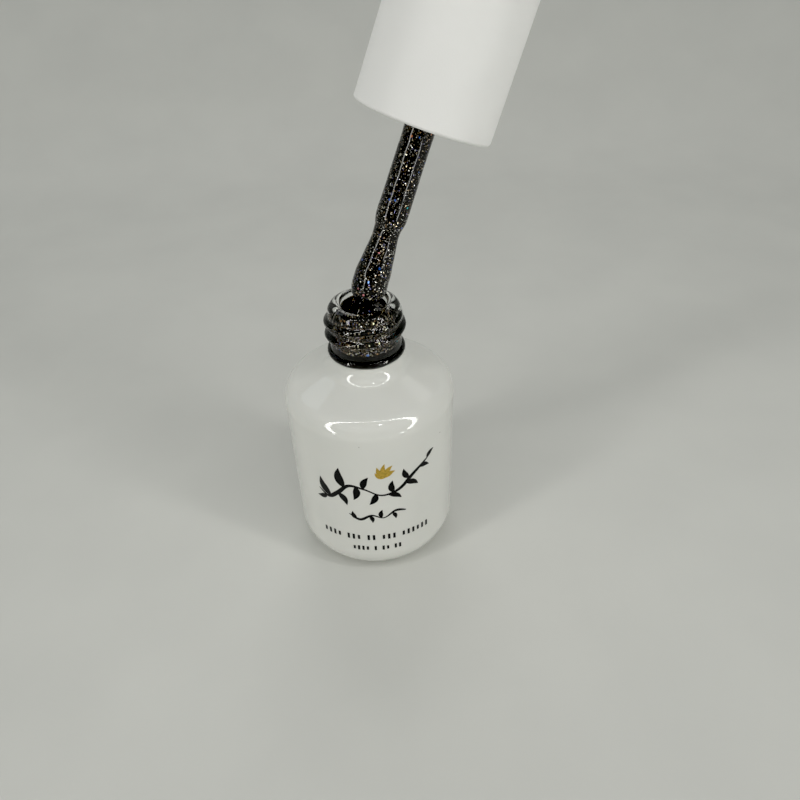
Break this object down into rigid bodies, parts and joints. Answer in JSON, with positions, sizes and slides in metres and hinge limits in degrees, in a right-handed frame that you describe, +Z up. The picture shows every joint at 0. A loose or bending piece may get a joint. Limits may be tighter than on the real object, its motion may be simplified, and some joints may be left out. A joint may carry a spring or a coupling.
{
  "type": "nail polish bottle",
  "caption": "Round white-lacquered glass bottle of dark glitter gel polish, with its tall matte white cap and loaded brush drawn up out of the threaded neck.",
  "frame": {"origin": "centre of the bottle's foot, on the bottle's axis, at the surface it stands on", "axes": "+Z up along the bottle's axis, -Y towards the printed front, the lifted cap leans towards +X"},
  "size_m": [0.0477, 0.0313, 0.1185],
  "materials": {
    "clear_glass": "gloss",
    "white_lacquer": "gloss white lacquer",
    "glitter_gel": "wet gloss, near-black with fine silver, gold and holographic glitter",
    "matte_white_cap": "matte, soft-touch",
    "inner_cap_plastic": "satin",
    "liner_foam": "matte foam",
    "stem_plastic": "satin",
    "staple_wire": "satin",
    "nylon_bristle": "satin"
  },
  "bodies": {
    "bottle": {"glass_bottle": "clear_glass", "white_coating": "white_lacquer", "gel_polish": "glitter_gel", "neck_gel_film": "glitter_gel"},
    "mouth_gel": {"gel_drip": "glitter_gel"},
    "stem_gel": {"stem_gel_coat": "glitter_gel"},
    "brush_cap": {"overcap": "matte_white_cap", "inner_cap": "inner_cap_plastic", "sealing_liner": "liner_foam", "brush_stem": "stem_plastic", "bristle_staple": "staple_wire", "brush_bristles": "nylon_bristle", "brush_gel_bead": "glitter_gel"}
  },
  "joints": [
    {"name": "cap_tilt", "type": "hinge", "parent": "bottle", "child": "mouth_gel", "pos_m": [0, 0, 0.052], "axis": [-0.2639, 0.9646, 0], "range_deg": [-21.2, 7.8]},
    {"name": "brush_draw", "type": "slide", "parent": "mouth_gel", "child": "stem_gel", "axis": [0.3472, 0.095, 0.933], "range_m": [-0.0419, 0.015], "deforming": ["gel_polish", "neck_gel_film", "gel_drip", "stem_gel_coat", "brush_gel_bead", "brush_bristles"]},
    {"name": "cap_turn", "type": "hinge", "parent": "stem_gel", "child": "brush_cap", "pos_m": [0, 0, 0.052], "axis": [0.3472, 0.095, 0.933], "continuous": true}
  ],
  "couplings": [
    {"joint": "cap_tilt", "follows": "brush_draw", "rad_per_m": 8.789}
  ]
}
